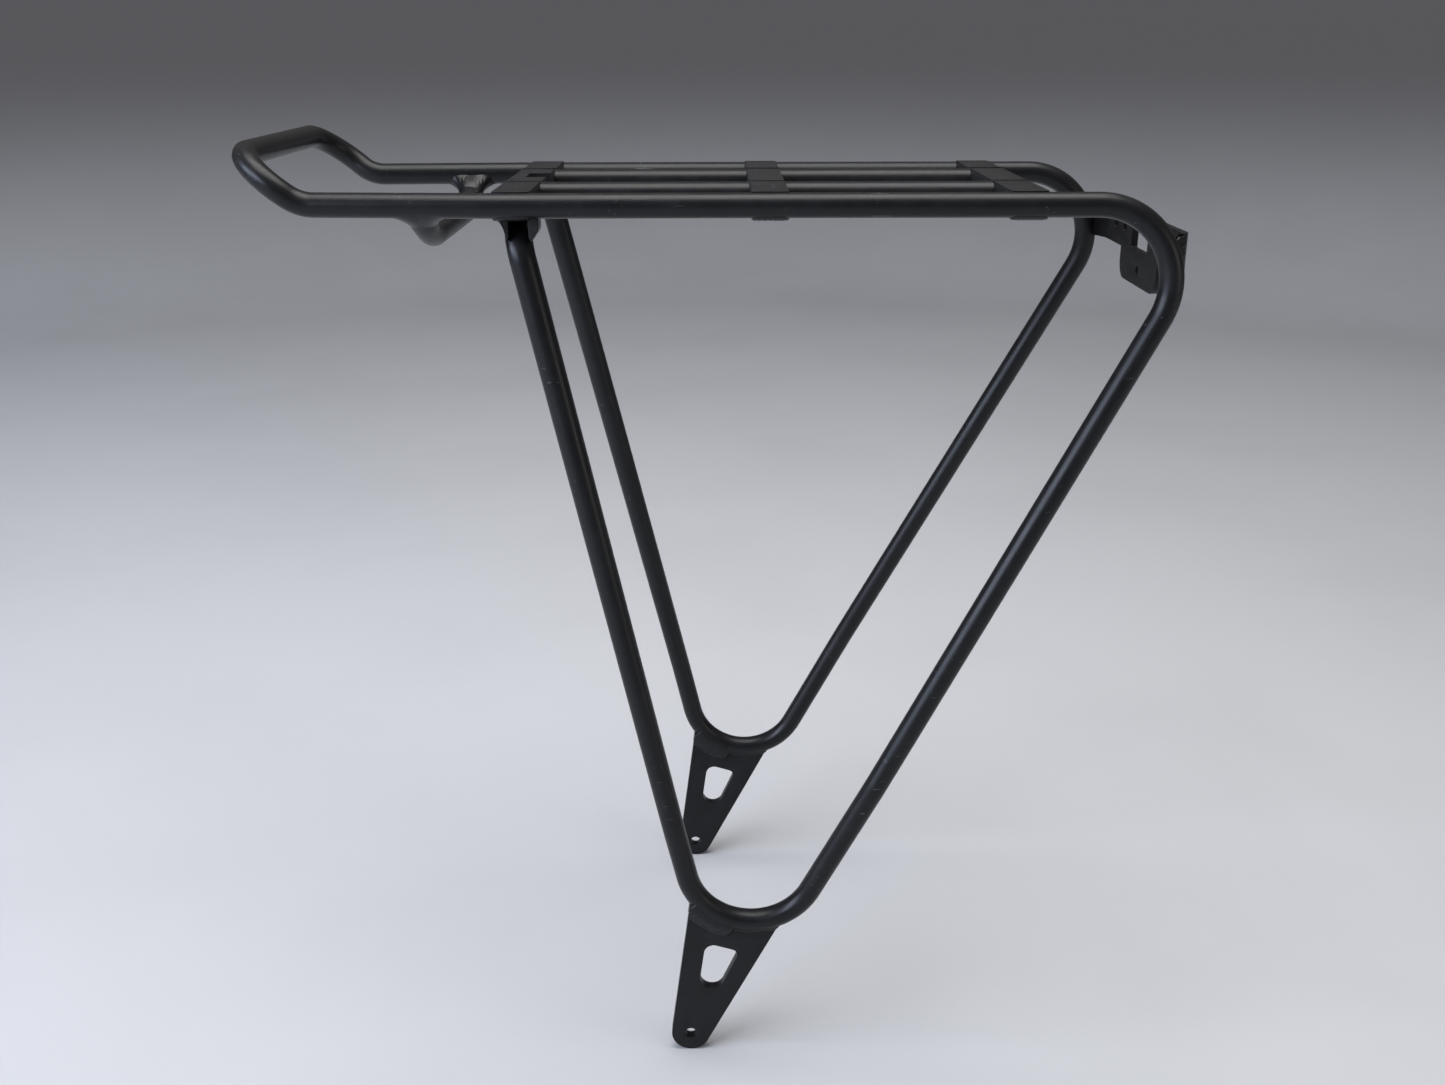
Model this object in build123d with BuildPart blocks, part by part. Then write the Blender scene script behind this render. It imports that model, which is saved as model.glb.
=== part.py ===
import os
from math import cos, radians, sin, tan

from build123d import *

os.makedirs("parts", exist_ok=True)

# Rear carrier for a bicycle, welded from bent aluminium tube. Millimetres.
# The origin is midway between the two foot eyelets, on their common axis.
# X runs to the rear of the bicycle, Y to its right-hand side and Z up.

# Tube and weld stock
tube_diameter = 10
bead_radius = 2.0  # welds of the bridge and the stays
rod_bead_radius = 1.2  # small welds under the deck rods
seat_gap = 0.1  # between a plate and the tube it is welded to
arc_steps = 6  # straight runs of a weld that follows an arc

# Side frames
rail_height = 383.6  # axis of the rails above the eyelets
rail_spacing = 140  # axis to axis
foot_spacing = 171  # middle to middle of the foot plates
rear_corner_x = 217.5  # where rail and rear stay would meet without their bend
rear_bend_radius = 31.2
foot_corner_x = 17.4  # where the two stays would meet without their bend
foot_corner_z = 6.2
foot_bend_radius = 30.3
rear_kink_z = 130.8  # the stays turn upright, into the plane of the foot plate
front_kink_z = 111
kink_radius = 60
stay_top_spacing = 128.6
stay_top_radius = 14
stub_end_spacing = 88  # free ends of the front stays, under the front bar
rear_seam_run = 58  # from the rear corner to the seam of rail and stay
foot_seam_z = 98

# Hoop
hoop_seam_x = -74  # seam of rail and hoop, under the front bar
hoop_start_x = -78  # from here the arms close in a little
hoop_bend_x = -153.5
hoop_bend_spacing = 130.6
hoop_bend_radius = 16
hoop_end_x = -177.6
hoop_end_spacing = 142.4
hoop_rise = 18.9
hoop_corner_radius = 20

# Drop bridge
bridge_x = -105.3
bridge_drop = 15.0
bridge_flat = 100.6  # length of its level part between the corners
bridge_bend_radius = 38

# Deck bars and rods
front_bar_x = -68.4
bar_pitch = 103.15
bar_width = 15
bar_height = 11
groove_pitch = 5.2
groove_width = 1.2
groove_depth = 0.5
rib_height = 0.5
rib_width = 1.6
notch_width = 19
notch_depth = 9
rod_spacing = 58
rod_lift = 0.3  # rod axis above the rail axis

# Foot plates
plate_thickness = 5
foot_end_radius = 9
eyelet_diameter = 5.5
plate_corner_radius = 0.8
plate_front_x = 1.3  # corner circles of the plate, inside its welds
plate_front_z = 73
plate_rear_x = 40.6
plate_rear_z = 61
window_bottom_x = 10.2
window_bottom_z = 30.8
window_bottom_radius = 5.6
window_front_x = 11.0
window_front_z = 44.6
window_front_radius = 4.5
window_rear_x = 18.9
window_rear_z = 43.8
window_rear_radius = 3.0

# Lamp plate
lamp_thickness = 3
lamp_standoff = 1.5  # behind the rear bends, filled by the welds
lamp_end_inset = 4.4  # the plate's ends lie this far inside the middle of the bends
lamp_fold_width = 114  # outside this the ends are set forward, against the bends
lamp_fold_depth = 3.8
lamp_top = 11  # below the rail axis
lamp_wide_height = 19
lamp_drop_width = 58
lamp_drop_height = 14
lamp_corner_radius = 8
lamp_inner_radius = 5
lamp_end_radius = 2
lamp_hole_diameter = 5.2
lamp_hole_drop = 20.7
lamp_wide_pitch = 80
lamp_narrow_pitch = 50
lamp_centre_hole_diameter = 4.4
lamp_centre_hole_drop = 37.4
lamp_window_width = 25
lamp_window_height = 11.5
lamp_window_bottom = 28.5

# Tied sizes
tube_radius = tube_diameter / 2
rail_half = rail_spacing / 2
foot_half = foot_spacing / 2
rod_half = rod_spacing / 2
hoop_bend_half = hoop_bend_spacing / 2
bar_half_height = bar_height / 2
stay_top_x = front_bar_x
stay_top_z = rail_height - bar_half_height - tube_radius
stay_top_half = stay_top_spacing / 2
stub_half = stub_end_spacing / 2
bar_places = [front_bar_x, front_bar_x + bar_pitch, front_bar_x + 2 * bar_pitch]
sides = {"left": -1, "right": 1}


def leg_x(top_x, top_z, z):
    # X of a straight stay at height z, seen from the side
    return foot_corner_x + (top_x - foot_corner_x) * (z - foot_corner_z) / (top_z - foot_corner_z)


# Corners of one side frame, for the right-hand side
hoop_seam = Vector(hoop_seam_x, rail_half, rail_height)
hoop_start = Vector(hoop_start_x, rail_half, rail_height)
hoop_bend = Vector(hoop_bend_x, hoop_bend_half, rail_height)
hoop_end = Vector(hoop_end_x, hoop_end_spacing / 2, rail_height + hoop_rise)
rail_end = Vector(rear_corner_x - rear_seam_run, rail_half, rail_height)
rear_corner = Vector(rear_corner_x, rail_half, rail_height)
rear_kink = Vector(leg_x(rear_corner_x, rail_height, rear_kink_z), foot_half, rear_kink_z)
rear_seam = Vector(leg_x(rear_corner_x, rail_height, foot_seam_z), foot_half, foot_seam_z)
foot_corner = Vector(foot_corner_x, foot_half, foot_corner_z)
front_seam = Vector(leg_x(stay_top_x, stay_top_z, foot_seam_z), foot_half, foot_seam_z)
front_kink = Vector(leg_x(stay_top_x, stay_top_z, front_kink_z), foot_half, front_kink_z)
stay_top = Vector(stay_top_x, stay_top_half, stay_top_z)
stub_end = Vector(stay_top_x, stub_half, stay_top_z)

# Rearmost line of the rear bends, where the lamp plate is welded
rear_leg = (rear_kink - rear_corner).normalized()
rear_turn = radians(rear_leg.get_angle(Vector(1, 0, 0)))
rear_bend_start_x = rear_corner_x - rear_bend_radius * tan(rear_turn / 2)
rear_leg_down = Vector(0, rear_leg.Y, rear_leg.Z).normalized()
crest = Vector(rear_bend_start_x, rail_half, rail_height) + rear_leg_down * rear_bend_radius
crest_x = rear_bend_start_x + rear_bend_radius + tube_radius
lamp_front_x = crest_x + lamp_standoff
lamp_width = 2 * (crest.Y - lamp_end_inset)
lamp_end_x = lamp_front_x - lamp_fold_depth

# Centre of the bend at the foot, in the plane of the foot plate
to_front = (front_seam - foot_corner).normalized()
to_rear = (rear_seam - foot_corner).normalized()
foot_half_angle = radians(to_front.get_angle(to_rear)) / 2
foot_centre = foot_corner + (to_front + to_rear).normalized() * (foot_bend_radius / sin(foot_half_angle))


def on_side(points, side):
    return [Vector(point.X, side * point.Y, point.Z) for point in points]


def bent_tube(points, radii):
    # One tube along straight runs and tangent bends
    with BuildPart() as tube:
        with BuildLine() as route:
            FilletPolyline(*points, radius=radii)
        with BuildSketch(Plane(origin=route.line @ 0, z_dir=route.line % 0)):
            Circle(tube_radius)
        sweep(path=route.line)
    return tube.part


def keep(part, name):
    part.label = name
    export_step(part, f"parts/{name}.step")


# Hoop: both arms rise from the rails to the cross tube
hoop_arm = [hoop_seam, hoop_start, hoop_bend, hoop_end]
arm_radii = [kink_radius, hoop_bend_radius, hoop_corner_radius]
front_hoop = bent_tube(on_side(hoop_arm, 1) + on_side(hoop_arm, -1)[::-1], arm_radii + arm_radii[::-1])
keep(front_hoop, "front_hoop")

# Rails, rear stays, foot bends and front stays of the two side frames
rails = {}
rear_stays = {}
foot_bends = {}
front_stays = {}
for name, side in sides.items():
    with BuildPart() as rail:
        with BuildSketch(Plane(origin=(hoop_seam_x, side * rail_half, rail_height), z_dir=(1, 0, 0))):
            Circle(tube_radius)
        extrude(amount=rail_end.X - hoop_seam_x)
    rails[name] = rail.part
    rear_stays[name] = bent_tube(
        on_side([rail_end, rear_corner, rear_kink, rear_seam], side), [rear_bend_radius, kink_radius]
    )
    foot_bends[name] = bent_tube(on_side([rear_seam, foot_corner, front_seam], side), [foot_bend_radius])
    front_stays[name] = bent_tube(
        on_side([front_seam, front_kink, stay_top, stub_end], side), [kink_radius, stay_top_radius]
    )
    keep(rails[name], f"{name}_rail")
    keep(rear_stays[name], f"{name}_rear_stay")
    keep(foot_bends[name], f"{name}_foot_bend")
    keep(front_stays[name], f"{name}_front_stay")

# Drop bridge: its ends are cut to the saddle shape of the hoop's arms
bridge_share = (bridge_x - hoop_bend_x) / (hoop_start_x - hoop_bend_x)
bridge_half = hoop_bend_half + (rail_half - hoop_bend_half) * bridge_share
bridge_end = Vector(bridge_x, bridge_half, rail_height)
bridge_low = Vector(bridge_x, bridge_flat / 2, rail_height - bridge_drop)
bridge_route = on_side([bridge_end, bridge_low], 1) + on_side([bridge_low, bridge_end], -1)
with BuildPart() as drop_bridge:
    add(bent_tube(bridge_route, [bridge_bend_radius, bridge_bend_radius]))
    add(front_hoop, mode=Mode.SUBTRACT)
bridge_solid = drop_bridge.part.solids().sort_by(SortBy.VOLUME)[-1]
bridge = Part([bridge_solid])
keep(bridge, "drop_bridge")


def deck_bar(place, notched):
    # A slice of one extrusion: grooved top, ribs over the rods, half-round ends on the rails
    with BuildPart() as bar:
        with BuildSketch(Plane(origin=(place - bar_width / 2, 0, rail_height), z_dir=(1, 0, 0), x_dir=(0, 1, 0))):
            Rectangle(rail_spacing, bar_height)
            with Locations((-rod_half, bar_half_height), (rod_half, bar_half_height)):
                Rectangle(rib_width, 2 * rib_height)
            groove_count = 2 * int((rail_half - tube_radius) / groove_pitch)
            with Locations((0, bar_half_height)):
                with GridLocations(groove_pitch, 1, groove_count, 1):
                    Rectangle(groove_width, 2 * groove_depth, mode=Mode.SUBTRACT)
            with Locations((-rail_half, 0), (rail_half, 0)):
                Circle(tube_radius, mode=Mode.SUBTRACT)
        extrude(amount=bar_width)
        if notched:
            with Locations((place + bar_width / 2 - notch_depth / 2, 0, rail_height)):
                Box(notch_depth, notch_width, 2 * bar_height, mode=Mode.SUBTRACT)
    return bar.part


bar_names = ["front_deck_bar", "centre_deck_bar", "rear_deck_bar"]
bars = {}
for bar_name, place in zip(bar_names, bar_places):
    bars[bar_name] = deck_bar(place, bar_name == "front_deck_bar")
    keep(bars[bar_name], bar_name)

# Rods: butted between the faces of neighbouring bars
rods = {}
for bay, start in zip(["front", "rear"], bar_places):
    for name, side in sides.items():
        rod_start = (start + bar_width / 2, side * rod_half, rail_height + rod_lift)
        with BuildPart() as rod:
            with BuildSketch(Plane(origin=rod_start, z_dir=(1, 0, 0))):
                Circle(tube_radius)
            extrude(amount=bar_pitch - bar_width)
        rods[f"{bay}_{name}_rod"] = rod.part
        keep(rod.part, f"{bay}_{name}_rod")

# Foot plates: the hull of three rounded corners, with the top cut to the bend of the tube
foot_plates = {}
for name, side in sides.items():
    outer_y = side * foot_half + plate_thickness / 2
    with BuildPart() as foot_plate:
        with BuildSketch(Plane(origin=(0, outer_y, 0), x_dir=(1, 0, 0), z_dir=(0, -1, 0))):
            Circle(foot_end_radius)
            with Locations((plate_front_x, plate_front_z), (plate_rear_x, plate_rear_z)):
                Circle(plate_corner_radius)
            make_hull()
            with Locations((foot_centre.X, foot_centre.Z)):
                Circle(foot_bend_radius + tube_radius + seat_gap, mode=Mode.SUBTRACT)
            Circle(eyelet_diameter / 2, mode=Mode.SUBTRACT)
            with BuildSketch(mode=Mode.PRIVATE) as window:
                with Locations((window_bottom_x, window_bottom_z)):
                    Circle(window_bottom_radius)
                with Locations((window_front_x, window_front_z)):
                    Circle(window_front_radius)
                with Locations((window_rear_x, window_rear_z)):
                    Circle(window_rear_radius)
                make_hull()
            add(window.sketch, mode=Mode.SUBTRACT)
        extrude(amount=plate_thickness)
    foot_plates[name] = foot_plate.part
    keep(foot_plate.part, f"{name}_foot_plate")

# Lamp plate: a wide bar with a lower tongue, holes for reflector and lamp
wide_middle = -lamp_top - lamp_wide_height / 2
tongue_middle = -lamp_top - lamp_wide_height - lamp_drop_height / 2
window_middle = -lamp_window_bottom + lamp_window_height / 2
with BuildPart() as lamp_plate:
    with BuildSketch(Plane(origin=(lamp_end_x, 0, rail_height), x_dir=(0, 1, 0), z_dir=(1, 0, 0))) as face:
        with Locations((0, wide_middle)):
            Rectangle(lamp_width, lamp_wide_height)
        with Locations((0, tongue_middle)):
            Rectangle(lamp_drop_width, lamp_drop_height)
        corners = face.vertices()
        low = corners.group_by(Axis.Y)[0]
        inner = corners.filter_by_position(Axis.X, -lamp_drop_width / 2 - 1, lamp_drop_width / 2 + 1)
        outer = corners - inner
        fillet(low, lamp_corner_radius)
        fillet([corner for corner in inner if corner not in low], lamp_inner_radius)
        fillet(outer, lamp_end_radius)
        with Locations((0, -lamp_hole_drop)):
            with GridLocations(lamp_wide_pitch, 1, 2, 1):
                Circle(lamp_hole_diameter / 2, mode=Mode.SUBTRACT)
            with GridLocations(lamp_narrow_pitch, 1, 2, 1):
                Circle(lamp_hole_diameter / 2, mode=Mode.SUBTRACT)
        with Locations((0, -lamp_centre_hole_drop)):
            Circle(lamp_centre_hole_diameter / 2, mode=Mode.SUBTRACT)
        with Locations((0, window_middle)):
            RectangleRounded(lamp_window_width, lamp_window_height, 1, mode=Mode.SUBTRACT)
    extrude(amount=lamp_fold_depth + lamp_thickness)
    with BuildSketch(Plane.XY.offset(rail_height)):
        with BuildLine():
            front = [
                (lamp_end_x, -lamp_width / 2),
                (lamp_front_x, -lamp_fold_width / 2),
                (lamp_front_x, lamp_fold_width / 2),
                (lamp_end_x, lamp_width / 2),
            ]
            back = [(x + lamp_thickness, y) for x, y in front]
            Polyline(*front, *back[::-1], close=True)
        make_face()
    extrude(amount=-rail_height, mode=Mode.INTERSECT)
keep(lamp_plate.part, "lamp_plate")


def bead(points, radius):
    # A run of weld, kept six-sided so that its facets stay few
    with BuildPart() as run:
        with BuildLine() as route:
            Polyline(*points)
        with BuildSketch(Plane(origin=route.line @ 0, z_dir=route.line % 0)):
            RegularPolygon(radius, 6)
        sweep(path=route.line, transition=Transition.RIGHT)
    return run.part


def arc_points(centre, across, up, radius, start, turn):
    # Points of an arc about centre, with the angle counted from across towards up
    angles = [radians(start + turn * step / arc_steps) for step in range(arc_steps + 1)]
    return [centre + across * (radius * cos(angle)) + up * (radius * sin(angle)) for angle in angles]


# Welds of the drop bridge to the arms of the hoop: two half ellipses on each end,
# in the planes that halve the angle between tubes of the same size
hoop_across = (hoop_start - hoop_bend).normalized()
bridge_down = (bridge_low - bridge_end).normalized()
with BuildPart() as bridge_welds:
    for side in sides.values():
        end, down, across = on_side([bridge_end, bridge_down, hoop_across], side)
        for way in (-1, 1):
            rise = down + across * way
            add(bead(arc_points(end, down.cross(across), rise, tube_radius, 0, 180), bead_radius))
    add(front_hoop, mode=Mode.SUBTRACT)
    add(bridge, mode=Mode.SUBTRACT)
keep(bridge_welds.part, "bridge_welds")

# Welds of the deck bars, under the rails
bar_bead_radius = bead_radius + 0.4
bar_bead_inset = 0.4  # the weld stops this far inside the faces of the bar
bar_bead_half = bar_width / 2 - bar_bead_inset
with BuildPart() as bar_welds:
    for side in sides.values():
        for place in bar_places:
            middle = Vector(place, side * (rail_half + 0.5), rail_height - tube_radius + 0.6)
            reach = Vector(bar_bead_half, 0, 0)
            add(bead([middle - reach, middle + reach], bar_bead_radius))
    for rail in rails.values():
        add(rail, mode=Mode.SUBTRACT)
    add(front_hoop, mode=Mode.SUBTRACT)
    for bar in bars.values():
        add(bar, mode=Mode.SUBTRACT)
keep(bar_welds.part, "bar_welds")

# Welds of the deck rods, under their ends
rod_bead_start = -150
rod_bead_turn = 120
with BuildPart() as rod_welds:
    for start in bar_places[:2]:
        for face_x in (start + bar_width / 2, start + bar_pitch - bar_width / 2):
            for side in sides.values():
                rod_end = Vector(face_x, side * rod_half, rail_height + rod_lift)
                seam = arc_points(
                    rod_end, Vector(0, 1, 0), Vector(0, 0, 1), tube_radius, rod_bead_start, rod_bead_turn
                )
                add(bead(seam, rod_bead_radius))
    for rod in rods.values():
        add(rod, mode=Mode.SUBTRACT)
    for bar in bars.values():
        add(bar, mode=Mode.SUBTRACT)
keep(rod_welds.part, "rod_welds")

# Welds of the front stays: along both sides of each stub under the front bar,
# and one on the front of the bend that fills the corner to the rail
stub_bead_offset = tube_radius * 0.72
stub_bead_drop = bar_half_height + 0.8
corner_bead_radius = 2.6
corner_rail_offset = 5.8  # from the axes of stay and rail to the weld's end on the rail
corner_rail_inset = 3
corner_rail_drop = 6.2
corner_stay_offset = 4.0  # and to its end on the stay
corner_stay_drop = 8.2
with BuildPart() as stay_welds:
    for name, side in sides.items():
        for way in (-1, 1):
            x = stay_top_x + way * stub_bead_offset
            inner = Vector(x, side * (stub_half + bead_radius), rail_height - stub_bead_drop)
            outer = Vector(x, side * (stay_top_half - bead_radius), rail_height - stub_bead_drop)
            add(bead([inner, outer], bead_radius))
        rail_y = side * (rail_half - corner_rail_inset)
        on_rail = Vector(stay_top_x - corner_rail_offset, rail_y, rail_height - corner_rail_drop)
        on_stay = Vector(stay_top_x - corner_stay_offset, side * stay_top_half, rail_height - corner_stay_drop)
        add(bead([on_rail, on_stay], corner_bead_radius))
    for name in sides:
        add(front_stays[name], mode=Mode.SUBTRACT)
        add(rails[name], mode=Mode.SUBTRACT)
    add(front_hoop, mode=Mode.SUBTRACT)
    add(bars["front_deck_bar"], mode=Mode.SUBTRACT)
    add(bar_welds.part, mode=Mode.SUBTRACT)
keep(stay_welds.part, "stay_welds")


# Welds of the foot plates: a wide flat one over the outer face at the front corner
# and a small one at the rear corner, both across the edge of the plate
foot_bead_radius = 3.6
foot_front_start = 218
foot_front_turn = 36
foot_rear_start = 283
foot_rear_turn = 7
with BuildPart() as foot_welds:
    for name, side in sides.items():
        for start, turn in ((foot_front_start, foot_front_turn), (foot_rear_start, foot_rear_turn)):
            centre = Vector(foot_centre.X, side * foot_half, foot_centre.Z)
            seam = arc_points(
                centre, Vector(1, 0, 0), Vector(0, 0, 1), foot_bend_radius + tube_radius, start, turn
            )
            add(bead(seam, foot_bead_radius))
    for name in sides:
        add(foot_bends[name], mode=Mode.SUBTRACT)
        add(foot_plates[name], mode=Mode.SUBTRACT)
keep(foot_welds.part, "foot_welds")

# Welds of the lamp plate: a run down each end, along the back of the rear bend
lamp_bead_radius = 2.4
lamp_bead_top = 14
lamp_bead_bottom = 28
lamp_bead_lean = 2.4  # its top lies this far ahead of its foot, as the bend does
lamp_bead_overhang = 1.2
with BuildPart() as lamp_welds:
    for side in sides.values():
        y = side * (lamp_width / 2 + lamp_bead_overhang)
        low = Vector(lamp_end_x + lamp_thickness - 0.4, y, rail_height - lamp_bead_bottom)
        high = Vector(low.X - lamp_bead_lean, y, rail_height - lamp_bead_top)
        add(bead([low, high], lamp_bead_radius))
    for stay in rear_stays.values():
        add(stay, mode=Mode.SUBTRACT)
    add(lamp_plate.part, mode=Mode.SUBTRACT)
keep(lamp_welds.part, "lamp_welds")
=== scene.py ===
from math import cos, pi, radians, sin, tan
import bpy
import bmesh
from mathutils import Matrix, Vector, noise


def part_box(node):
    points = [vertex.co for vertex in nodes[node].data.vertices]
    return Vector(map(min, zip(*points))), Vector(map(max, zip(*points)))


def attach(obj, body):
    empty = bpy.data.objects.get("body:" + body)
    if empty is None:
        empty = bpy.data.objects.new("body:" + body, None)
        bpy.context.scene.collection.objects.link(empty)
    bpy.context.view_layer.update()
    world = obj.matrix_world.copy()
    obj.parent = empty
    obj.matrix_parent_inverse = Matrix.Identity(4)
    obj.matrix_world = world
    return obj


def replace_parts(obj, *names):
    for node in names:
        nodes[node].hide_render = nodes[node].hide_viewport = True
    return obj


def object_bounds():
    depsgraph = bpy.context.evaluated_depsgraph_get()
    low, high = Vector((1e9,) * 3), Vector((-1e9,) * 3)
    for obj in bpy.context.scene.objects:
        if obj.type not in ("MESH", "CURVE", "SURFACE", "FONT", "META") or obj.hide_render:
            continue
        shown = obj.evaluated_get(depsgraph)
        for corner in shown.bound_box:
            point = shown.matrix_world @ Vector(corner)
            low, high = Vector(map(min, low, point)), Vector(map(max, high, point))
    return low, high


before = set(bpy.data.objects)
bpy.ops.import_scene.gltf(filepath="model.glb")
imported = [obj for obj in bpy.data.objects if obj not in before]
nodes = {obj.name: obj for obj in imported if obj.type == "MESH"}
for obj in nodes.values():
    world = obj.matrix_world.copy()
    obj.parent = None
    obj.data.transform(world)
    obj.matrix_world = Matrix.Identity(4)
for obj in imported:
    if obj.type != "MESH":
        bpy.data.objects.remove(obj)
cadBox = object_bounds()
mm = 0.001
sides = {"left": -1, "right": 1}
bendSteps = {"fewest": 4, "degrees": 3.5}  # a bend has a step for every so many degrees
softening = {"merge": 0.002, "flat": 0.5, "arris": 35, "smooth": 30}


def addPiece(name, bm, material, smoothAngle=40):
    # turns a bmesh into a piece of the carrier
    mesh = bpy.data.meshes.new(name)
    bm.to_mesh(mesh)
    bm.free()
    piece = bpy.data.objects.new(name, mesh)
    bpy.context.scene.collection.objects.link(piece)
    mesh.materials.append(material)
    mesh.shade_smooth()
    mesh.set_sharp_from_angle(angle=radians(smoothAngle))
    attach(piece, "root")
    return piece


def boxMiddle(node):
    low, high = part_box(node)
    return (low + high) / 2


def mirrored(points, side):
    return [Vector((p[0], side * p[1], p[2])) for p in points]


def vertsOf(geom):
    return [g for g in geom if isinstance(g, bmesh.types.BMVert)]


def edgesOf(geom):
    return [g for g in geom if isinstance(g, bmesh.types.BMEdge)]


def sweepTube(bm, corners, bends, radius, segments):
    # a circle drawn along straight runs and spun round each bend, as a bending machine does
    here = corners[0]
    heading = (corners[1] - corners[0]).normalized()
    turned = heading.to_track_quat("Z", "Y").to_matrix().to_4x4()
    start = bmesh.ops.create_circle(
        bm, cap_ends=False, radius=radius, segments=segments, matrix=Matrix.Translation(here) @ turned
    )
    ring = list({edge for vert in start["verts"] for edge in vert.link_edges})
    firstRing = ring
    for index, corner in enumerate(corners[1:]):
        last = index == len(corners) - 2
        setback = 0
        if not last:
            nextHeading = (corners[index + 2] - corner).normalized()
            turn = heading.angle(nextHeading)
            setback = bends[index] * tan(turn / 2)
        run = (corner - here).length - setback
        grown = bmesh.ops.extrude_edge_only(bm, edges=ring)["geom"]
        ring = edgesOf(grown)
        bmesh.ops.translate(bm, verts=vertsOf(grown), vec=heading * run)
        if last:
            break
        axis = heading.cross(nextHeading).normalized()
        inward = axis.cross(heading)
        centre = corner - heading * setback + inward * bends[index]
        steps = max(bendSteps["fewest"], int(turn / radians(bendSteps["degrees"])))
        spun = bmesh.ops.spin(
            bm, geom=ring, cent=centre, axis=axis, angle=turn, steps=steps,
            use_duplicate=False, use_merge=False,
        )
        ring = edgesOf(spun["geom_last"])
        here = corner + nextHeading * setback
        heading = nextHeading
    for end in (firstRing, ring):
        alive = [edge for edge in end if edge.is_valid]
        bmesh.ops.edgeloop_fill(bm, edges=alive)


def finishShell(bm):
    bmesh.ops.remove_doubles(bm, verts=bm.verts, dist=0.01 * mm)
    bmesh.ops.recalc_face_normals(bm, faces=bm.faces)


def roundEdges(bm, edges, width, segments):
    bmesh.ops.bevel(
        bm, geom=edges, offset=width, offset_type="OFFSET", affect="EDGES", segments=segments,
        profile=0.5, material=-1, clamp_overlap=True,
    )


def softened(node, name, material, width, segments=3):
    # a copy of a flat CAD piece with its arrises rounded
    bm = bmesh.new()
    bm.from_mesh(nodes[node].data)
    bmesh.ops.remove_doubles(bm, verts=bm.verts, dist=softening["merge"] * mm)
    bmesh.ops.dissolve_limit(bm, angle_limit=radians(softening["flat"]), verts=bm.verts, edges=bm.edges)
    least = radians(softening["arris"])
    arrises = [edge for edge in bm.edges if edge.is_manifold and edge.calc_face_angle() > least]
    roundEdges(bm, arrises, width * mm, segments)
    piece = addPiece(name, bm, material, softening["smooth"])
    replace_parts(piece, node)
    return piece


class Value:
    # a socket that can be used in plain arithmetic
    def __init__(self, graph, socket):
        self.graph, self.socket = graph, socket

    def sum(self, operation, *terms):
        return self.graph.node("ShaderNodeMath", {"operation": operation}, dict(enumerate(terms)))

    def __add__(self, other):
        return self.sum("ADD", self, other)

    def __radd__(self, other):
        return self.sum("ADD", other, self)

    def __sub__(self, other):
        return self.sum("SUBTRACT", self, other)

    def __rsub__(self, other):
        return self.sum("SUBTRACT", other, self)

    def __mul__(self, other):
        return self.sum("MULTIPLY", self, other)

    def __rmul__(self, other):
        return self.sum("MULTIPLY", other, self)

    def above(self, low, high):
        # 0 under low, 1 over high
        settings = {"clamp": True, "interpolation_type": "SMOOTHSTEP"}
        return self.graph.node("ShaderNodeMapRange", settings, {0: self, 1: low, 2: high, 3: 0.0, 4: 1.0})


class Graph:
    # the shader nodes of a material or of the world
    def __init__(self, tree):
        self.tree = tree

    def node(self, kind, settings=None, inputs=None, output=0):
        made = self.tree.nodes.new(kind)
        for key, value in (settings or {}).items():
            setattr(made, key, value)
        for key, value in (inputs or {}).items():
            self.feed(made.inputs[key], value)
        return Value(self, made.outputs[output])

    def feed(self, socket, value):
        if isinstance(value, Value):
            self.tree.links.new(value.socket, socket)
        else:
            socket.default_value = value

    def place(self, scale=(1, 1, 1), turn=(0, 0, 0)):
        spot = self.node("ShaderNodeTexCoord", output="Object")
        return self.node("ShaderNodeMapping", None, {"Vector": spot, "Scale": scale, "Rotation": turn})

    def noise(self, place, scale, detail, roughness=0.55):
        return self.node("ShaderNodeTexNoise", None, {
            "Vector": place, "Scale": scale, "Detail": detail, "Roughness": roughness})

    def blend(self, factor, first, second):
        return self.node("ShaderNodeMix", {"data_type": "RGBA"}, {0: factor, 6: first, 7: second}, 2)

    def bump(self, height, distance, strength, under=None):
        sockets = {"Height": height, "Distance": distance * mm, "Strength": strength}
        if under:
            sockets["Normal"] = under
        return self.node("ShaderNodeBump", None, sockets)


class Finish(Graph):
    # one material
    def __init__(self, name):
        self.material = bpy.data.materials.new(name)
        self.material.use_nodes = True
        super().__init__(self.material.node_tree)
        self.shader = self.tree.nodes["Principled BSDF"]

    def set(self, **sockets):
        for key, value in sockets.items():
            self.feed(self.shader.inputs[key.replace("_", " ")], value)


satinLook = {
    "base": (0.0054, 0.0055, 0.0061, 1),
    "thin": (0.0100, 0.0102, 0.0110, 1),
    "thinAmount": 0.7,
    "dust": (0.075, 0.068, 0.06, 1),
    "mark": (0.11, 0.11, 0.115, 1),
    "roughness": 0.37,
    "cloudRoughness": 0.16,
    "patchRoughness": 0.1,
    "dustRoughness": 0.35,
    "markRoughness": 0.1,
    "specular": 0.28,
    "cloudScale": 55,
    "patchScale": 260,
    "speckScale": 2600,
    "handledScale": 31,
    "peelScale": 1100,
    "peelDepth": 0.012,
    "peelStrength": 0.55,
    "markDepth": 0.02,
    "markStrength": 0.4,
    "scratches": (  # turn and stretch of each set
        ((0.3, 0.5, 0.2), (900, 34, 900)),
        ((0.2, 1.1, 1.9), (40, 1000, 1000)),
    ),
}


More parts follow.
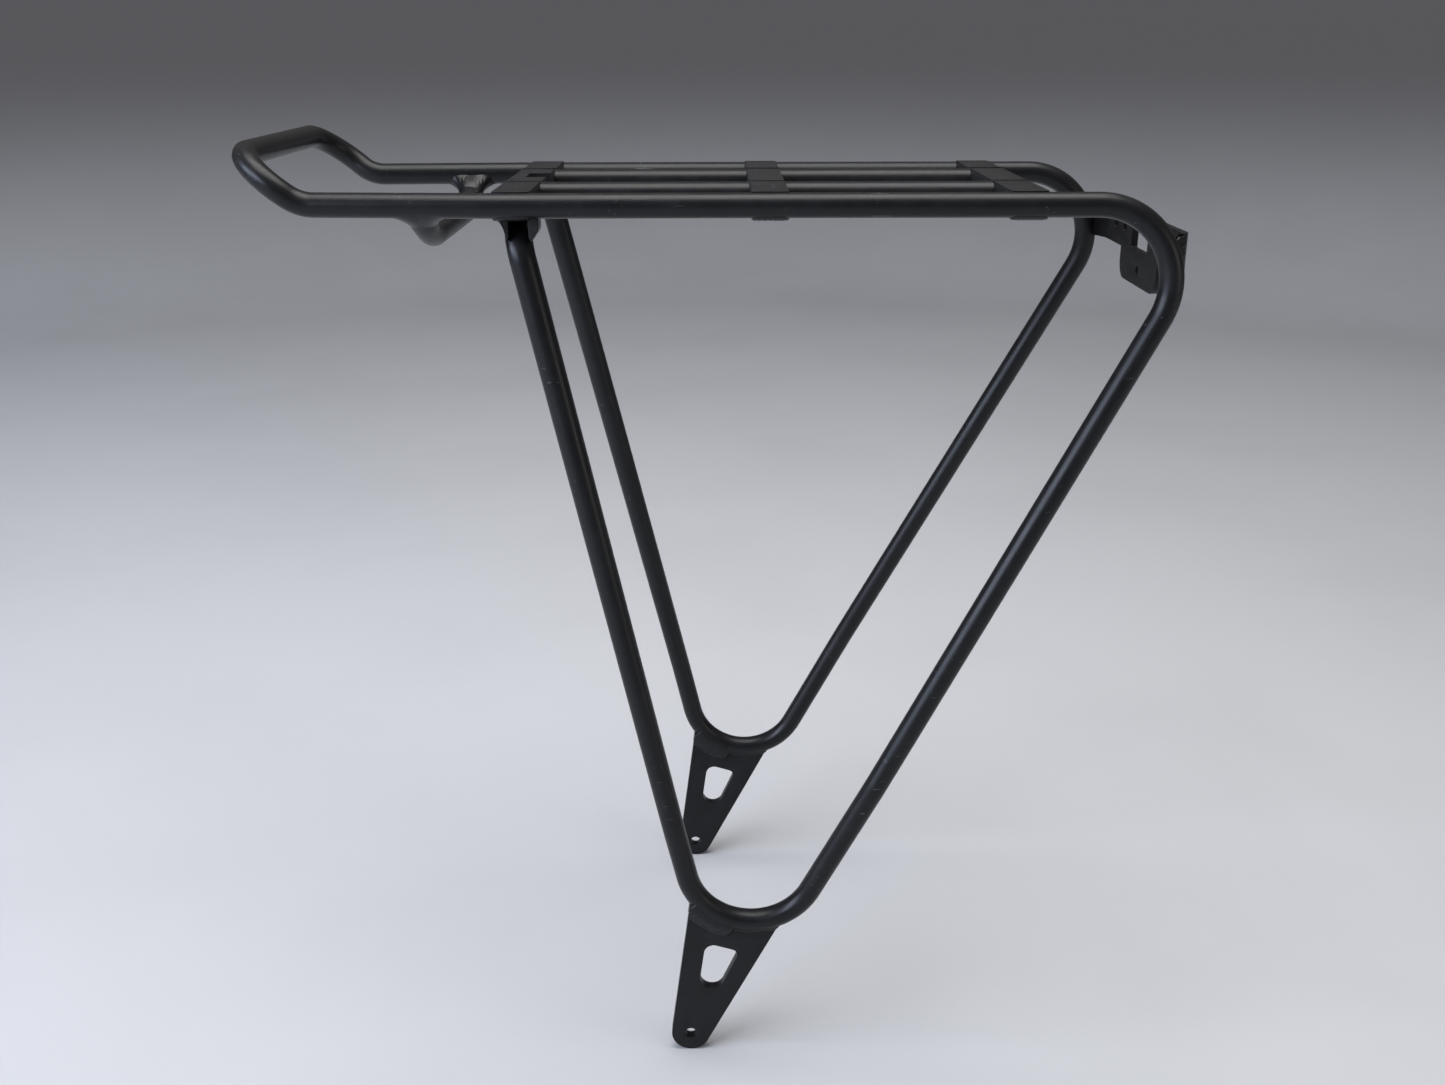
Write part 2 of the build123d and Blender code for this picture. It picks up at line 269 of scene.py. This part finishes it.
def satinBlack(name, look, dustAmount, markAmount, extraRoughness=0.0):
    # powder coat: fine orange peel, faint cloudy gloss, short hair scratches and a little dust on top
    paint = Finish(name)
    flat = paint.place()
    cloud = paint.noise(flat, look["cloudScale"], 3)
    patch = paint.noise(flat, look["patchScale"], 3)
    speck = paint.noise(flat, look["speckScale"], 2)
    thinned = (cloud * 0.6 + patch * 0.4).above(0.42, 0.72) * look["thinAmount"]
    colour = paint.blend(thinned, look["base"], look["thin"])
    facing = paint.node("ShaderNodeNewGeometry", output="Normal")
    upward = paint.node("ShaderNodeSeparateXYZ", None, {0: facing}, 2)
    dust = upward.above(0.35, 1.0) * patch.above(0.45, 0.75) * speck.above(0.42, 0.68) * dustAmount
    colour = paint.blend(dust, colour, look["dust"])
    marks = None
    for turn, stretch in look["scratches"]:
        streak = paint.noise(paint.place(stretch, turn), 1.0, 1, 0.4)
        line = streak.above(0.735, 0.755)
        marks = line if marks is None else marks + line
    handled = paint.noise(flat, look["handledScale"], 2).above(0.52, 0.62)
    marks = marks * handled * markAmount
    colour = paint.blend(marks, colour, look["mark"])
    peel = paint.noise(flat, look["peelScale"], 2, 0.5)
    rough = look["roughness"] + extraRoughness + (cloud - 0.5) * look["cloudRoughness"]
    rough = rough + (patch - 0.5) * look["patchRoughness"] + dust * look["dustRoughness"]
    grain = paint.bump(peel, look["peelDepth"], look["peelStrength"])
    rough = rough + marks * look["markRoughness"]
    relief = paint.bump(marks, look["markDepth"], look["markStrength"], grain)
    paint.set(Base_Color=colour, Roughness=rough, Normal=relief, Specular_IOR_Level=look["specular"])
    return paint.material


tubeBlack = satinBlack("tubeBlack", satinLook, 0.1, 0.55)
barBlack = satinBlack("barBlack", satinLook, 0.3, 0.9, 0.1)
plateBlack = satinBlack("plateBlack", satinLook, 0.1, 0.15, 0.06)
weldBlack = satinBlack("weldBlack", satinLook, 0.1, 0.2, -0.04)
# a darker copy of the satin paint, which is painted shade on the lamp plate
shadedLook = {**satinLook, "base": (0.0026, 0.0026, 0.0028, 1), "thin": (0.0045, 0.0045, 0.005, 1)}
lampShadedBlack = satinBlack("lampShadedBlack", shadedLook, 0.1, 0.1, 0.14)  # the lamp plate's paint is made darker as painted shade, since it faces away from the light, and rougher so it looks duller
print("materials made")


# the bent tube of both side frames and the hoop, in one run as the real one
railMiddle = boxMiddle("left_rail")
railHeight = railMiddle.z / mm
railHalf = abs(railMiddle.y) / mm
tubeRadius = (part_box("left_rail")[1].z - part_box("left_rail")[0].z) / 2
footHalf = abs(boxMiddle("left_foot_plate").y) / mm
stayX = -68.4
stubDrop = 10.5
tubeShape = {
    "stubEnd": (stayX, 44.0, railHeight - stubDrop),
    "stayTop": (stayX, 64.3, railHeight - stubDrop),
    "footCorner": (17.4, footHalf, 6.2),
    "frontKinkHeight": 111.0,
    "rearKinkHeight": 130.8,
    "rearCorner": (217.5, railHalf, railHeight),
    "hoopStart": (-78.0, railHalf, railHeight),
    "hoopBend": (-153.5, 65.3, railHeight),
    "hoopEnd": (-177.6, 71.2, railHeight + 18.9),
    "radii": {"top": 14, "kink": 60, "foot": 30.3, "rear": 31.2, "hoopBend": 16, "hoopCorner": 20},
    "segments": 48,
}


def onLeg(top, height):
    # a point of a straight leg at a height, in the plane of the foot plate
    foot = tubeShape["footCorner"]
    share = (height - foot[2]) / (top[2] - foot[2])
    return (foot[0] + (top[0] - foot[0]) * share, footHalf, height)


frontKink = onLeg(tubeShape["stayTop"], tubeShape["frontKinkHeight"])
rearKink = onLeg(tubeShape["rearCorner"], tubeShape["rearKinkHeight"])
sideRun = [
    tubeShape["stubEnd"], tubeShape["stayTop"], frontKink, tubeShape["footCorner"], rearKink,
    tubeShape["rearCorner"], tubeShape["hoopStart"], tubeShape["hoopBend"], tubeShape["hoopEnd"],
]
radii = tubeShape["radii"]
bendKinds = ("top", "kink", "foot", "kink", "rear", "kink", "hoopBend", "hoopCorner")
sideBends = [radii[kind] for kind in bendKinds]
leftRun = [p * mm for p in mirrored(sideRun, -1)]
rightRun = [p * mm for p in mirrored(sideRun, 1)]
tubeMesh = bmesh.new()
allBends = [bend * mm for bend in sideBends + sideBends[::-1]]
sweepTube(tubeMesh, leftRun + rightRun[::-1], allBends, tubeRadius, tubeShape["segments"])
finishShell(tubeMesh)

# the stays' tops are squashed wide by their bend, in full down to depthFull under the middle of the
# rails and not at all below depthNone
flattened = {
    "grow": 1.7, "growFrom": 2, "growReach": 7, "press": 0.8, "pressInside": 56,
    "depthNone": 60, "depthFull": 30, "clear": 5.2, "front": -9, "rear": 16, "outer": 72,
    "inner": 66, "least": 0.42, "fade": 22,
}
for vert in tubeMesh.verts:
    x, y, z = vert.co / mm
    away = x - stayX
    nearStay = abs(y) < flattened["outer"] and flattened["front"] < away < flattened["rear"]
    if not nearStay or z >= railHeight - flattened["clear"]:
        continue
    rise = (flattened["depthNone"] - (railHeight - z)) / (flattened["depthNone"] - flattened["depthFull"])
    share = min(1, max(0, rise))
    share *= share * min(1, flattened["least"] + max(0, flattened["inner"] - abs(y)) / flattened["fade"])
    behind = max(0, away + flattened["growFrom"]) / flattened["growReach"]
    vert.co.x += behind * share * flattened["grow"] * mm
    if z < railHeight - stubDrop and abs(y) < flattened["pressInside"]:
        vert.co.z += share * flattened["press"] * mm
bentTube = addPiece("bent_tube", tubeMesh, tubeBlack)
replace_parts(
    bentTube, "front_hoop",
    *[f"{side}_{part}" for side in sides for part in ("rail", "rear_stay", "foot_bend", "front_stay")],
)
print("bent tube made")

bridgeShape = {"x": -105.3, "drop": 15.0, "flat": 100.6, "radius": 38}
hoopStart, hoopBend = tubeShape["hoopStart"], tubeShape["hoopBend"]
hoopShare = (bridgeShape["x"] - hoopBend[0]) / (hoopStart[0] - hoopBend[0])
bridgeHalf = hoopBend[1] + (railHalf - hoopBend[1]) * hoopShare
bridgeEnd = (bridgeShape["x"], bridgeHalf, railHeight)
bridgeLow = (bridgeShape["x"], bridgeShape["flat"] / 2, railHeight - bridgeShape["drop"])
bridgeRun = [p * mm for p in mirrored([bridgeEnd, bridgeLow], -1) + mirrored([bridgeLow, bridgeEnd], 1)]
bridgeMesh = bmesh.new()
sweepTube(bridgeMesh, bridgeRun, [bridgeShape["radius"] * mm] * 2, tubeRadius, tubeShape["segments"])
finishShell(bridgeMesh)


def bridgeAxes(side):
    # the end of the bridge on one side, its own direction, the hoop's, the way up and across
    end, low, bent, begun = mirrored([bridgeEnd, bridgeLow, hoopBend, hoopStart], side)
    branch, arm = (low - end).normalized(), (begun - bent).normalized()
    up = branch.cross(arm).normalized()
    up = up if up.z > 0 else -up
    across = up.cross(branch)
    return end, branch, arm, up, across if across.dot(arm) > 0 else -across


# the bridge's ends are squashed from above
crushed = {"from": 5.0, "reach": 15.0, "press": 0.5, "widen": 0.35}


def squash(gone):
    # how wide and how high the bridge is at a distance from its end, against a round tube
    share = min(1, max(0, 1 - (gone - crushed["from"]) / crushed["reach"]))
    share = share * share * (3 - 2 * share)
    return 1 + crushed["widen"] * share, 1 - crushed["press"] * share


for vert in bridgeMesh.verts:
    end, branch, arm, up, across = bridgeAxes(1 if vert.co.y > 0 else -1)
    away = vert.co / mm - end
    wide, low = squash(away.dot(branch))
    vert.co += across * away.dot(across) * (wide - 1) * mm
    vert.co += up * max(0, away.dot(up)) * (low - 1) * mm
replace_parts(addPiece("drop_bridge_tube", bridgeMesh, tubeBlack), "drop_bridge")

# bars and rods of the deck
deck = {
    "bars": ("front_deck_bar", "centre_deck_bar", "rear_deck_bar"), "barArris": 0.14, "arrisSegments": 2,
    "bays": ("front", "rear"), "rodSunk": 0.3,
}
for barName in deck["bars"]:
    sliceName = barName.replace("_deck", "") + "_slice"
    softened(barName, sliceName, barBlack, deck["barArris"], deck["arrisSegments"])
for bay in deck["bays"]:
    for side in sides:
        low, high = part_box(f"{bay}_{side}_rod")
        middle = (low + high) / 2
        sunk = deck["rodSunk"] * mm
        ends = [Vector((low.x - sunk, middle.y, middle.z)), Vector((high.x + sunk, middle.y, middle.z))]
        rodMesh = bmesh.new()
        sweepTube(rodMesh, ends, [], tubeRadius, tubeShape["segments"])
        finishShell(rodMesh)
        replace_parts(addPiece(f"{bay}_{side}_deck_rod", rodMesh, tubeBlack), f"{bay}_{side}_rod")
print("deck made")

plateArris = {"foot": 0.45, "lamp": 0.35}
for side in sides:
    softened(f"{side}_foot_plate", f"{side}_foot_lug", plateBlack, plateArris["foot"])
lampCut = softened("lamp_plate", "lamp_plate_cut", lampShadedBlack, plateArris["lamp"])
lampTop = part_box("lamp_plate")[1].z
# the lamp plate's top edge falls a little towards its folds
lampCorner = {"from": 46, "over": 10, "lower": 1.6, "deep": 6}
for vert in lampCut.data.vertices:
    share = min(1, max(0, abs(vert.co.y) / mm - lampCorner["from"]) / lampCorner["over"])
    share *= max(0, 1 - (lampTop - vert.co.z) / mm / lampCorner["deep"])
    vert.co.z -= lampCorner["lower"] * share * mm
print("plates made")


def tubeSkin(origin, axis, radius):
    # finds the nearest point on a straight tube and the way it faces there
    def skin(spot):
        foot = origin + axis * (spot - origin).dot(axis)
        facing = (spot - foot).normalized()
        return foot + facing * radius, facing
    return skin


def bendSkin(centre, axis, bend, radius):
    # the same on a bent tube
    def skin(spot):
        flat = spot - centre
        flat = flat - axis * flat.dot(axis)
        foot = centre + flat.normalized() * bend
        facing = (spot - foot).normalized()
        return foot + facing * radius, facing
    return skin


def flatSkin(origin, facing):
    # and on a plate
    def skin(spot):
        return spot - facing * (spot - origin).dot(facing), facing
    return skin


def bendAt(before, corner, after, bend):
    # centre and axis of the bend at a corner of the tube's run
    first, second = (corner - before).normalized(), (after - corner).normalized()
    axis = first.cross(second).normalized()
    return corner - first * (bend * tan(first.angle(second) / 2)) + axis.cross(first) * bend, axis


def walk(skin, spot, way, length, steps=6):
    # goes a length over a skin, starting out along way
    for step in range(steps):
        facing = skin(spot)[1]
        way = (way - facing * way.dot(facing)).normalized()
        spot, facing = skin(spot + way * (length / steps))
    return spot, facing


def straight(a, b, steps=60):
    return [a.lerp(b, step / steps) for step in range(steps + 1)]


def ringArc(centre, across, up, radius, look):
    # points of an arc, angles in degrees from across towards up
    steps = look["steps"]
    angles = [radians(look["start"] + look["turn"] * step / steps) for step in range(steps + 1)]
    return [centre + across * (radius * cos(angle)) + up * (radius * sin(angle)) for angle in angles]


# what all welds share: points across, how deep the root lies, and how uneven the hand is
welding = {
    "across": 14, "root": 0.9, "lean": 0.4, "endSize": 0.02,
    "uneven": 0.12, "unevenPace": 0.35, "jitter": 0.3, "jitterPace": 0.4, "jitterRow": 7,
}


def layWeld(bm, seam, skins, look, lean=Vector((0, 0, 0)), swell=None, ribs=None):
    # a rippled fillet along a seam; every row runs from one skin over the crown to the other and back below
    travel = [0.0]
    for a, b in zip(seam, seam[1:]):
        travel.append(travel[-1] + (b - a).length)
    rows = []
    for spot, gone in zip(seam, travel):
        left = min(1.0, gone / look["end"], (travel[-1] - gone) / look["end"])
        full = max(welding["endSize"], 1 - (1 - left) ** 2) ** 0.5
        uneven = noise.noise(Vector((gone * welding["unevenPace"], look["pitch"], seam[0].x)))
        size = full * (1 + welding["uneven"] * uneven)
        wide = swell(gone / travel[-1]) if swell else (1, 1)
        faces = [skin(spot)[1] for skin in skins]
        lift = (faces[0] + faces[1]).normalized()
        toes = []
        for this, other, side in ((0, 1, -1), (1, 0, 1)):
            leg = look["legs"][this] * wide[this] * size
            way = faces[other] - faces[this] * faces[this].dot(faces[other])
            toe, out = walk(skins[this], spot, way + lean * (welding["lean"] * side), leg)
            toe = toe - out * look["sink"]
            inward = spot - toe
            toes.append((toe, toe + (inward - out * inward.dot(out)) * look["blend"]))
        size *= sum(wide) / 2
        rows.append((toes, lift, spot - lift * welding["root"] * size, size, gone))
    across = welding["across"]
    grid = bmesh.ops.create_grid(bm, x_segments=len(seam) - 1, y_segments=across + 2, size=1)["verts"]
    for vert in grid:
        row = round((vert.co.x + 1) / 2 * (len(seam) - 1))
        column = round((vert.co.y + 1) / 2 * (across + 2)) % (across + 2)
        (toeA, pullA), (toeB, pullB) = rows[row][0]
        lift, root, size, gone = rows[row][1:]
        if column > across:
            vert.co = root
            continue
        v = column / across
        crown = toeA * (1 - v) ** 3 + pullA * 3 * v * (1 - v) ** 2
        crown = crown + pullB * 3 * v * v * (1 - v) + toeB * v ** 3
        phase = (crown.dot(ribs) if ribs else gone) / look["pitch"] + look["crescent"] * (2 * v - 1) ** 2
        jitterAt = Vector((gone * welding["jitterPace"], welding["jitterRow"], 0))
        phase += welding["jitter"] * noise.noise(jitterAt)
        wave = abs(sin(pi * phase)) ** look["crease"] * (max(0, lift.z) ** 0.5 if ribs else 1)
        vert.co = crown + lift * sin(pi * v) * size * (look["bulge"] + look["ripple"] * wave)


def lump(bm, place, sizes, turn):
    # a rounded end of weld
    squeeze = Matrix.Diagonal((sizes[0], sizes[1], sizes[2], 1))
    spin = Matrix.Rotation(radians(turn), 4, "Y")
    stance = Matrix.Translation(place) @ spin @ squeeze
    bmesh.ops.create_icosphere(bm, subdivisions=4, radius=1, matrix=stance)


def addWeld(name, bm, replaced):
    # welds are laid in millimetres
    finishShell(bm)
    bmesh.ops.scale(bm, vec=(mm, mm, mm), verts=bm.verts)
    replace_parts(addPiece(name, bm, weldBlack, 180), replaced)


alongX, alongY, alongZ = Vector((1, 0, 0)), Vector((0, 1, 0)), Vector((0, 0, 1))
stock = tubeRadius / mm

bridgeWeld = {
    "legs": (5.4, 7.0), "blend": 0.45, "bulge": 0.3, "ripple": 0.42, "pitch": 1.8,
    "crescent": -1.3, "crease": 0.6, "sink": 0.06, "end": 2.0,
    "start": -98, "turn": 376, "steps": 220, "thinTop": 0.84, "thickTop": 0.25, "thinUnder": 0.34,
}


def ovalSkin(end, branch, up, across):
    # the squashed end of the bridge
    def skin(spot):
        away = spot - end
        gone = away.dot(branch)
        wide, low = squash(gone)
        low = low if away.dot(up) > 0 else 1
        a, b = away.dot(across) / wide, away.dot(up) / low
        size = (a * a + b * b) ** 0.5 / stock
        facing = across * (a / wide) + up * (b / low)
        return end + branch * gone + across * (a / size * wide) + up * (b / size * low), facing.normalized()
    return skin


def overTop(share):
    # next to no metal on the rail and much on the bridge where the weld passes over the top
    top, under = max(0, -cos(2 * pi * share)) ** 0.5, max(0, cos(2 * pi * share))
    onRail = 1 - bridgeWeld["thinTop"] * top
    return onRail, 1 + bridgeWeld["thickTop"] * top - bridgeWeld["thinUnder"] * under


weldMesh = bmesh.new()
for side in sides.values():
    end, branch, arm, up, across = bridgeAxes(side)
    rail = tubeSkin(end, arm, stock)
    wide, low = squash(0)
    saddle = []
    for step in range(bridgeWeld["steps"] + 1):
        angle = radians(bridgeWeld["start"] + bridgeWeld["turn"] * step / bridgeWeld["steps"])
        rise = sin(angle) * (low if sin(angle) > 0 else 1)
        saddle.append(rail(end + (branch + across * cos(angle) * wide + up * rise) * stock)[0])
    layWeld(weldMesh, saddle, (rail, ovalSkin(end, branch, up, across)), bridgeWeld, branch, overTop, arm)
addWeld("bridge_weld_beads", weldMesh, "bridge_welds")

barWeld = {
    "legs": (3.4, 2.6), "blend": 0.4, "bulge": 1.0, "ripple": 0.12, "pitch": 2.2,
    "crescent": 0.6, "crease": 0.8, "sink": 0.06, "end": 2.6, "half": 7.6, "drop": 5.1,
}
weldMesh = bmesh.new()
for barName in deck["bars"]:
    for side in sides.values():
        spot = Vector((boxMiddle(barName).x / mm, side * railHalf, railHeight - barWeld["drop"]))
        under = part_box(barName)[0].z / mm
        rail = tubeSkin(Vector((0, side * railHalf, railHeight)), alongX, stock)
        skins = (rail, flatSkin(alongZ * under, -alongZ))
        reach = alongX * barWeld["half"]
        layWeld(weldMesh, straight(spot - reach, spot + reach), skins, barWeld, alongY * -side)
addWeld("bar_weld_beads", weldMesh, "bar_welds")

rodWeld = {
    "legs": (1.5, 0.8), "blend": 0.4, "bulge": 0.25, "ripple": 0.12, "pitch": 1.2,
    "crescent": 0.5, "crease": 0.8, "sink": 0.04, "end": 1.2, "start": 200, "turn": 140, "steps": 60,
}
weldMesh = bmesh.new()
for bay in deck["bays"]:
    for side in sides:
        low, high = [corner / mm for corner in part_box(f"{bay}_{side}_rod")]
        for faceX, facing in ((low.x, alongX), (high.x, -alongX)):
            centre = Vector((faceX, (low.y + high.y) / 2, (low.z + high.z) / 2))
            seam = ringArc(centre, alongY, alongZ, stock, rodWeld)
            layWeld(weldMesh, seam, (tubeSkin(centre, alongX, stock), flatSkin(centre, facing)), rodWeld)
addWeld("rod_weld_beads", weldMesh, "rod_welds")

# each stay's stub has a run on both sides under the front bar, and metal up to the rail before and
# behind its bend
stubWeld = {
    "legs": (3.0, 2.6), "blend": 0.4, "bulge": 0.3, "ripple": 0.2, "pitch": 1.9,
    "crescent": 0.6, "crease": 0.8, "sink": 0.06, "end": 2.0, "offset": 1.6, "inner": 45, "outer": 62,
}
stayWeb = {
    "front": [
        (-1.6, -3.6), (-11.0, -3.6), (-11.0, -4.9), (-8.9, -5.0), (-6.6, -5.4),
        (-4.8, -6.6), (-3.7, -8.6), (-3.2, -11.0), (-2.8, -14.2), (-1.6, -12.5),
    ],
    "rear": [
        (6.2, -3.6), (10.6, -3.6), (10.8, -9.0), (9.8, -11.2), (8.2, -13.2),
        (7.0, -15.0), (6.2, -13.5),
    ],
    "outer": 70.4, "inner": 60, "tuckBelow": 8.5, "tuck": 0.42, "soft": 0.9, "segments": 4,
}


def addWeb(bm, outline, side):
    # weld metal built up between the stay and the rail, drawn from the side and rounded all over
    shape = []
    for x, z in outline:
        y = stayWeb["outer"] + min(0, z + stayWeb["tuckBelow"]) * stayWeb["tuck"]
        shape.append(bm.verts.new((stayX + x, side * y, railHeight + z)))
    grown = bmesh.ops.extrude_face_region(bm, geom=[bm.faces.new(shape)])["geom"]
    bmesh.ops.translate(bm, verts=vertsOf(grown), vec=(0, side * (stayWeb["inner"] - stayWeb["outer"]), 0))
    edges = list({edge for vert in shape + vertsOf(grown) for edge in vert.link_edges})
    roundEdges(bm, edges, stayWeb["soft"], stayWeb["segments"])


weldMesh = bmesh.new()
for side in sides.values():
    top = mirrored([tubeShape["stayTop"]], side)[0]
    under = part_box("front_deck_bar")[0].z / mm
    for way in (-1, 1):
        x = top.x + way * stubWeld["offset"]
        inner, outer = [Vector((x, side * stubWeld[key], under)) for key in ("inner", "outer")]
        skins = (tubeSkin(top, alongY, stock), flatSkin(inner, -alongZ))
        layWeld(weldMesh, straight(inner, outer), skins, stubWeld)
    addWeb(weldMesh, stayWeb["front"], side)
    addWeb(weldMesh, stayWeb["rear"], side)
addWeld("stay_weld_beads", weldMesh, "stay_welds")

# the foot plates are welded on both faces: wide at the front corner, thin along the tube, small at
# the rear corner
footWeld = {
    "legs": (1.1, 1.1), "blend": 0.42, "bulge": 0.16, "ripple": 0.05, "pitch": 2.6,
    "crescent": 0.9, "crease": 1.3, "sink": 0.08, "end": 1.0,
    "start": 216.7, "turn": 72.3, "steps": 200,
    "wide": 0.44, "taper": 0.104, "wider": (4.9, 4.5), "last": 0.132, "lastWider": 0.6,
    "corner": (0.18, 70.57), "lean": (-0.9915, 0.13), "proud": 0.25, "inset": 0.15,
    "lumpSunk": 0.4, "lumps": ((219.6, (4.6, 2.3, 2.6)), (287.8, (2.4, 0.6, 2.9))),
}


def wideFirst(share):
    # wide to a rounded end under the foot of the front leg, then a thin run that grows a little at its end
    ended = max(0, share - footWeld["wide"]) / footWeld["taper"]
    wide = max(0, 1 - ended ** 2) ** 0.5
    last = max(0, share - (1 - footWeld["last"])) / footWeld["last"]
    return [1 + wider * wide + footWeld["lastWider"] * last for wider in footWeld["wider"]]


weldMesh = bmesh.new()
for side in sides.values():
    centre, axis = bendAt(*mirrored([frontKink, tubeShape["footCorner"], rearKink], side), radii["foot"])
    low, high = [corner.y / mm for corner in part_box("right_foot_plate" if side > 0 else "left_foot_plate")]
    half = (high - low) / 2
    reach = radii["foot"] + (stock ** 2 - half ** 2) ** 0.5
    for faceY, facing in ((low, -alongY), (high, alongY)):
        plane = Vector((centre.x, faceY, centre.z))
        seam = ringArc(plane, alongX, alongZ, reach, footWeld)
        skins = (bendSkin(centre, axis, radii["foot"], stock), flatSkin(plane, facing))
        layWeld(weldMesh, seam, skins, footWeld, swell=wideFirst)
    for angle, (along, beyond, out) in footWeld["lumps"]:
        turn = radians(angle)
        place = centre + (alongX * cos(turn) + alongZ * sin(turn)) * (reach - footWeld["lumpSunk"])
        lump(weldMesh, place, (along, half + beyond, out), -angle)
outermost = cadBox[1][1] / mm - footWeld["inset"]
(cornerX, cornerZ), (leanX, leanZ) = footWeld["corner"], footWeld["lean"]
for vert in weldMesh.verts:  # flush with the front edge of the plate
    past = (vert.co.x - cornerX) * leanX + (vert.co.z - cornerZ) * leanZ - footWeld["proud"]
    vert.co -= Vector((leanX, 0, leanZ)) * max(0, past)
    vert.co.y = max(-outermost, min(outermost, vert.co.y))
addWeld("foot_weld_beads", weldMesh, "foot_welds")

lampWeld = {
    "legs": (2.6, 2.4), "blend": 0.4, "bulge": 0.5, "ripple": 0.25, "pitch": 1.9,
    "crescent": 0.7, "crease": 0.8, "sink": 0.06, "end": 0.9, "top": 11.8, "bottom": 28,
    "lean": 2.6, "out": 0.5, "plateBack": 3, "plateFacing": (0.94, 0.34), "legHeight": 131,
}
weldMesh = bmesh.new()
lampLow, lampHigh = [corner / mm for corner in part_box("lamp_plate")]
for side in sides.values():
    legPoint = onLeg(tubeShape["rearCorner"], lampWeld["legHeight"])
    centre, axis = bendAt(*mirrored([hoopStart, tubeShape["rearCorner"], legPoint], side), radii["rear"])
    footX, footY = lampLow.x + lampWeld["lean"], lampHigh.y + lampWeld["out"]
    foot = Vector((footX, side * footY, railHeight - lampWeld["bottom"]))
    head = foot + Vector((-lampWeld["lean"], 0, lampWeld["bottom"] - lampWeld["top"]))
    facingX, facingY = lampWeld["plateFacing"]
    edge = Vector((lampLow.x + lampWeld["plateBack"], side * lampHigh.y, 0))
    plate = flatSkin(edge, Vector((facingX, side * facingY, 0)))
    skins = (bendSkin(centre, axis, radii["rear"], stock), plate)
    layWeld(weldMesh, straight(foot, head), skins, lampWeld, alongY * -side)
addWeld("lamp_weld_beads", weldMesh, "lamp_welds")
print("welds made")

# a pale round floor that curves up into its own backdrop
studio = {
    "floor": 1.9, "curve": 1.0, "below": 0.0002, "curveSteps": 16, "roundSteps": 96, "merge": 0.0005,
    "pale": (0.575, 0.575, 0.58, 1),
    "tint": (0.553, 0.553, 0.558, 1),
    "wall": (0.19, 0.183, 0.18, 1),
    "sky": (0.22, 0.235, 0.26, 1),
    "low": (0.17, 0.155, 0.15, 1),
    "wallFrom": -0.06, "wallFull": 0.4, "skyFrom": 0.3, "skyFull": 0.8,
    "roughness": 0.55, "specular": 0.3,
}
ground = cadBox[0][2] - studio["below"]
floorMesh = bmesh.new()
rim = floorMesh.verts.new((studio["floor"], 0, ground))
floorMesh.edges.new((floorMesh.verts.new((0, 0, ground)), rim))
bmesh.ops.spin(
    floorMesh, geom=[rim], cent=(studio["floor"], 0, ground + studio["curve"]), axis=(0, -1, 0),
    angle=pi / 2, steps=studio["curveSteps"], use_duplicate=False, use_merge=False,
)
bmesh.ops.spin(
    floorMesh, geom=floorMesh.verts[:] + floorMesh.edges[:], cent=(0, 0, 0), axis=(0, 0, 1),
    angle=2 * pi, steps=studio["roundSteps"], use_duplicate=False, use_merge=True,
)
bmesh.ops.remove_doubles(floorMesh, verts=floorMesh.verts, dist=studio["merge"])
bmesh.ops.recalc_face_normals(floorMesh, faces=floorMesh.faces)
if sum(face.normal.z for face in floorMesh.faces) < 0:
    bmesh.ops.reverse_faces(floorMesh, faces=floorMesh.faces)
floorData = bpy.data.meshes.new("floor")
floorMesh.to_mesh(floorData)
floorMesh.free()
floorData.shade_smooth()
floor = bpy.data.objects.new("floor", floorData)
bpy.context.scene.collection.objects.link(floor)
lacquer = Finish("floorLacquer")
spread = lacquer.place()
cloud = lacquer.noise(spread, 3.0, 4)
floorRise = lacquer.node("ShaderNodeSeparateXYZ", None, {0: spread}, 2)
risen = floorRise.above(studio["wallFrom"], studio["wallFull"])
paleFloor = lacquer.blend(cloud.above(0.4, 0.65), studio["pale"], studio["tint"])
floorColour = lacquer.blend(risen, paleFloor, studio["wall"])
lacquer.set(Base_Color=floorColour, Roughness=studio["roughness"], Specular_IOR_Level=studio["specular"])
floorData.materials.append(lacquer.material)

world = bpy.data.worlds.new("studio")
bpy.context.scene.world = world
world.use_nodes = True
air = Graph(world.node_tree)
height = air.node("ShaderNodeSeparateXYZ", None, {0: air.node("ShaderNodeTexCoord")}, 2)
skyColour = air.blend(height.above(studio["skyFrom"], studio["skyFull"]), studio["low"], studio["sky"])
air.feed(air.tree.nodes["Background"].inputs["Color"], skyColour)

lamps = {
    "ceiling": {"at": (0.02, -0.1, 1.7), "size": (1.4, 1.08), "power": 28, "colour": (1, 0.99, 0.98)},
    "window": {"at": (-1.64, -0.95, 0.9), "size": (1.7, 0.65), "power": 43, "colour": (0.70, 0.79, 1)},
    "doorway": {"at": (1.75, -1.0, 0.55), "size": (0.75, 0.6), "power": 3.5, "colour": (1, 0.98, 0.95)},
}
lampAim = Vector((0, 0, 0.2))
for name, lamp in lamps.items():
    data = bpy.data.lights.new(name, "AREA")
    data.energy, data.color, data.shape = lamp["power"], lamp["colour"], "RECTANGLE"
    data.size, data.size_y = lamp["size"]
    light = bpy.data.objects.new(name, data)
    light.visible_camera = False
    bpy.context.scene.collection.objects.link(light)
    light.location = lamp["at"]
    light.rotation_euler = (Vector(lamp["at"]) - lampAim).to_track_quat("Z", "Y").to_euler()

view = {
    "at": (13.06, -648.73, 448.97), "turn": (70.272, 0.0966, -0.2751),
    "lens": 35.566, "sensor": 36, "clip": (0.01, 50),
}
cameraData = bpy.data.cameras.new("camera")
cameraData.lens, cameraData.sensor_width = view["lens"], view["sensor"]
cameraData.clip_start, cameraData.clip_end = view["clip"]
camera = bpy.data.objects.new("camera", cameraData)
camera.location = Vector(view["at"]) * mm
camera.rotation_euler = [radians(angle) for angle in view["turn"]]
bpy.context.scene.collection.objects.link(camera)
bpy.context.scene.camera = camera
bpy.context.scene.view_settings.view_transform = "Standard"
print("studio made")
